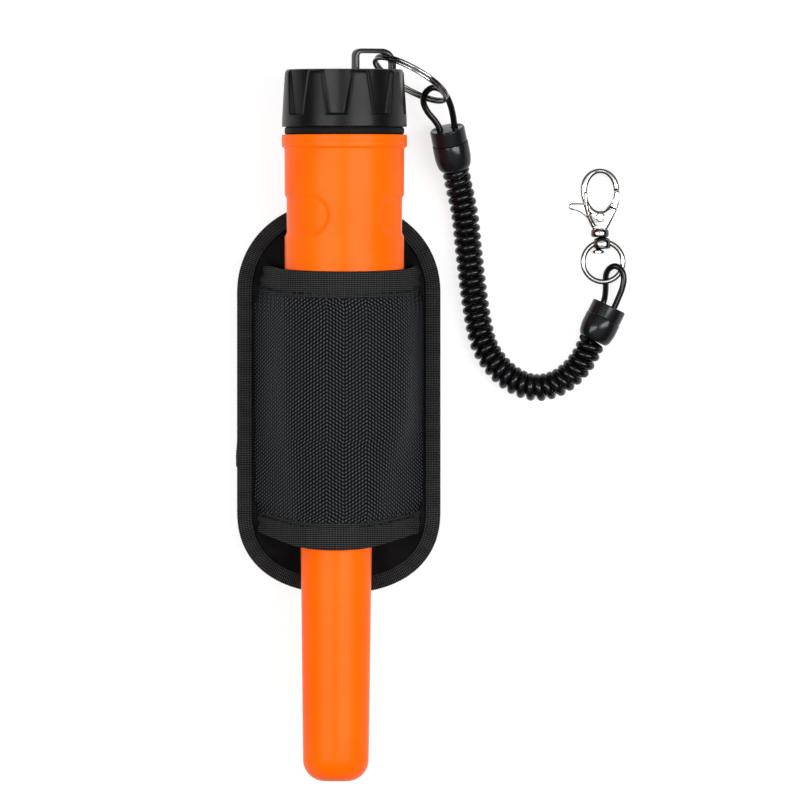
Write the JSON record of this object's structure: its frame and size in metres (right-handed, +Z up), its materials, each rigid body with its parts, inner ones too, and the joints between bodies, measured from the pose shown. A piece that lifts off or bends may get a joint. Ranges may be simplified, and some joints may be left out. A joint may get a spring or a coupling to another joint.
{
  "type": "pinpointer probe",
  "caption": "Handheld metal-detecting pinpointer probe with screw battery cap, padded belt holster and a coiled lanyard ending in a swivel clasp.",
  "frame": {"origin": "centre of the footprint of the holster and probe, on the surface under the belt loop; the lanyard is left out of it", "axes": "+Z up from the surface the holster lies on, +Y along the probe towards the battery cap, +X towards the lanyard"},
  "size_m": [0.1262, 0.2364, 0.0531],
  "materials": {
    "orange_shell": "satin moulded",
    "cap_plastic": "satin moulded",
    "gloss_black": "polished",
    "cord_plastic": "glossy polyurethane",
    "seal_rubber": "satin",
    "ballistic_nylon": "herringbone weave",
    "padded_nylon": "padded plain weave",
    "binding_tape": "grosgrain tape",
    "webbing": "woven webbing",
    "nickel": "polished nickel plate",
    "spring_steel": "drawn wire",
    "board_laminate": "solder mask",
    "black_component": "moulded",
    "grey_plastic": "moulded",
    "motor_steel": "plated can",
    "battery_jacket": "plain jacket",
    "ferrite": "sintered",
    "enamelled_copper": "enamelled wire",
    "red_insulation": "flexible insulation",
    "black_insulation": "flexible insulation",
    "foam": "closed-cell foam",
    "clear_plastic": "clear moulded"
  },
  "bodies": {
    "holster": {"back_panel": "padded_nylon", "edge_binding": "binding_tape", "pocket_front": "ballistic_nylon", "pocket_top_hem": "binding_tape", "pocket_bottom_hem": "binding_tape", "belt_loop": "webbing"},
    "probe": {"probe_housing": "orange_shell", "circuit_board": "board_laminate", "control_chip": "black_component", "buzzer": "black_component", "vibration_motor": "motor_steel", "tact_switch": "grey_plastic", "led_lens": "clear_plastic", "led": "clear_plastic", "led_holder": "black_component", "inner_chassis": "grey_plastic", "battery": "battery_jacket", "battery_snap": "black_component", "ferrite_rod": "ferrite", "coil_bobbin": "black_component", "search_coil": "enamelled_copper", "tip_cushion": "foam", "coil_lead": "enamelled_copper", "battery_lead_positive": "red_insulation", "battery_lead_negative": "black_insulation"},
    "cap_seal": {"cap_gasket": "seal_rubber"},
    "cap": {"battery_cap": "cap_plastic", "lanyard_bail": "gloss_black", "battery_pad": "foam"},
    "button": {"power_button": "seal_rubber"},
    "key_ring": {"split_ring": "nickel"},
    "cord": {"upper_cord_loop": "cord_plastic", "upper_ferrule_plug": "gloss_black", "upper_ferrule_sleeve": "gloss_black", "coiled_cord": "cord_plastic", "lower_ferrule_sleeve": "gloss_black", "lower_ferrule_plug": "gloss_black", "lower_cord_loop": "cord_plastic"},
    "clasp_link": {"clasp_ring": "nickel"},
    "swivel": {"swivel_eye": "nickel"},
    "clasp": {"clasp_body": "nickel", "gate_pin": "nickel", "gate_spring": "spring_steel"},
    "gate": {"clasp_gate": "nickel"}
  },
  "joints": [
    {"name": "probe_slide", "type": "slide", "parent": "holster", "child": "probe", "axis": [0, 1, 0], "range_m": [0, 0.17]},
    {"name": "cap_lift", "type": "slide", "parent": "probe", "child": "cap_seal", "axis": [0, 1, 0], "range_m": [0, 0.00605]},
    {"name": "cap_turn", "type": "hinge", "parent": "cap_seal", "child": "cap", "pos_m": [0.00186, 0.1, 0.031], "axis": [0, 1, 0], "range_deg": [0, 720]},
    {"name": "button_press", "type": "slide", "parent": "probe", "child": "button", "axis": [-1, 0, 0], "range_m": [0, 0.0008], "stiffness_N_per_m": 2500, "springref_m": -0.0003},
    {"name": "ring_turn", "type": "hinge", "parent": "cap", "child": "key_ring", "pos_m": [0.0232, 0.1085, 0.0224], "axis": [-0.474, -0.8412, 0.26], "range_deg": [0, 40]},
    {"name": "cord_swing", "type": "hinge", "parent": "key_ring", "child": "cord", "pos_m": [0.033, 0.101, 0.016], "axis": [0, 0, 1], "range_deg": [0, 30]},
    {"name": "clasp_ring_turn", "type": "hinge", "parent": "cord", "child": "clasp_link", "pos_m": [0.0855, 0.0495, 0.0037], "axis": [0, 0, 1], "range_deg": [-35, 35]},
    {"name": "clasp_tilt", "type": "hinge", "parent": "clasp_link", "child": "swivel", "pos_m": [0.0855, 0.05595, 0.0037], "axis": [1, 0, 0], "range_deg": [0, 40]},
    {"name": "clasp_swivel", "type": "hinge", "parent": "swivel", "child": "clasp", "pos_m": [0.0845, 0.06, 0.0037], "axis": [0, 1, 0], "continuous": true},
    {"name": "gate_open", "type": "hinge", "parent": "clasp", "child": "gate", "pos_m": [0.0846, 0.0639, 0.0037], "axis": [0, 0, 1], "range_deg": [0, 19], "stiffness_Nm_per_rad": 0.06, "springref_deg": -17.19}
  ],
  "couplings": [
    {"joint": "cap_lift", "follows": "cap_turn", "m_per_rad": 0.00047746}
  ]
}
